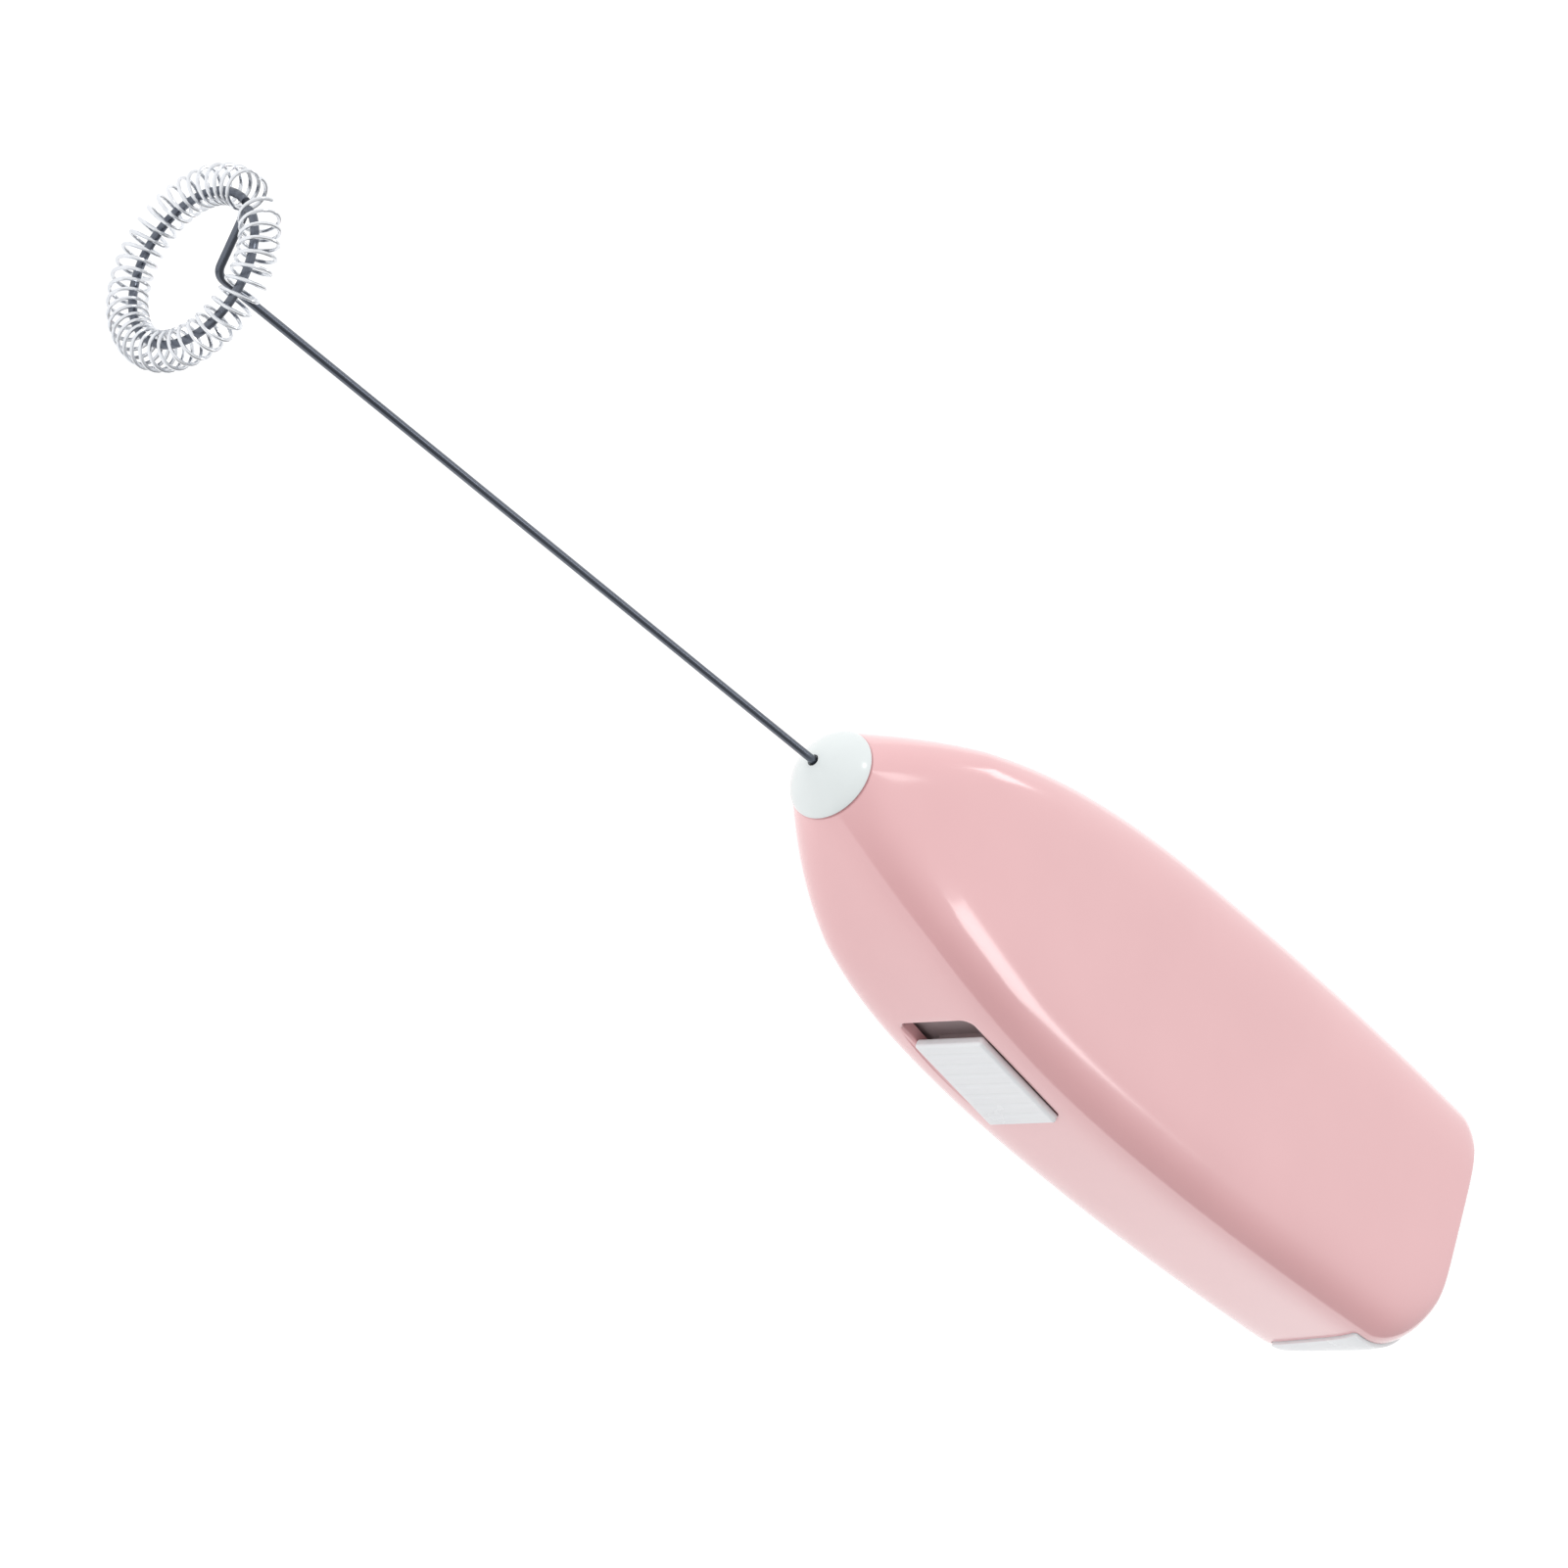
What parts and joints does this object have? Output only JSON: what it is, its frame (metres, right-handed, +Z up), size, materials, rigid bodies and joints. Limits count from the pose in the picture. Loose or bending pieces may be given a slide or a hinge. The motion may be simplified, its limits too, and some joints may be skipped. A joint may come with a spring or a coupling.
{
  "type": "milk frother",
  "caption": "Battery milk frother: slim moulded handle with a side slide switch, a bent steel shaft and a coil-wrapped ring whisk.",
  "frame": {"origin": "centre of the bounding box at its bottom, on the wide face that the frother lies on", "axes": "the whisk points to -X, the butt to +X, the switch faces -Y, and +Z is up out of the upper wide face"},
  "size_m": [0.2232, 0.035, 0.0219],
  "materials": {
    "pink_shell": "glossy moulded ABS",
    "white_trim": "satin moulded ABS",
    "inner_plastic": "natural moulded ABS",
    "board": "black phenolic sheet",
    "whisk_steel": "drawn stainless wire",
    "plated_steel": "zinc-plated steel",
    "ground_steel": "ground steel",
    "lamination": "stamped electrical steel",
    "bronze": "sintered bronze",
    "brass": "rolled brass",
    "copper": "enamelled copper",
    "nickel": "nickel-plated spring steel",
    "ferrite": "sintered ferrite",
    "seal_rubber": "nitrile rubber",
    "red_pvc": "PVC insulation",
    "black_pvc": "PVC insulation",
    "cell_jacket": "plain cell jacket",
    "grey_acetal": "warm grey moulded acetal"
  },
  "bodies": {
    "handle": {"outer_shell": "pink_shell", "nose_cap": "white_trim", "shaft_seal": "seal_rubber", "chassis": "inner_plastic", "switch_contact_1": "brass", "switch_contact_2": "brass", "switch_board": "board", "motor_can": "plated_steel", "motor_end_bell": "white_trim", "front_bushing": "bronze", "rear_bushing": "bronze", "magnet_1": "ferrite", "magnet_2": "ferrite", "brush_1": "brass", "brush_2": "brass", "motor_terminal_1": "nickel", "motor_terminal_2": "nickel", "motor_screw_1": "plated_steel", "motor_screw_2": "plated_steel", "battery_1": "cell_jacket", "battery_2": "cell_jacket", "positive_contact": "nickel", "negative_contact": "nickel", "negative_spring": "nickel", "lead_battery_to_switch": "red_pvc", "lead_switch_to_motor": "red_pvc", "lead_battery_to_motor": "black_pvc"},
    "spindle": {"motor_shaft": "ground_steel", "armature_core": "lamination", "winding_1": "copper", "winding_2": "copper", "winding_3": "copper", "commutator": "copper", "shaft_coupling": "brass", "whisk_shaft": "whisk_steel", "whisk_coil": "whisk_steel"},
    "slider": {"switch_slider": "white_trim", "switch_carriage": "grey_acetal", "switch_wiper": "brass"},
    "door": {"battery_door": "white_trim", "bridge_contact": "nickel", "bridge_spring": "nickel"}
  },
  "joints": [
    {"name": "whisk_spin", "type": "hinge", "parent": "handle", "child": "spindle", "pos_m": [0, 0.0008, 0.0114], "axis": [-1, 0, 0], "continuous": true},
    {"name": "switch_slide", "type": "slide", "parent": "handle", "child": "slider", "axis": [-0.9925, 0.1223, 0], "range_m": [0, 0.0025]},
    {"name": "door_slide", "type": "slide", "parent": "handle", "child": "door", "axis": [1, 0, 0], "range_m": [0, 0.03]}
  ]
}
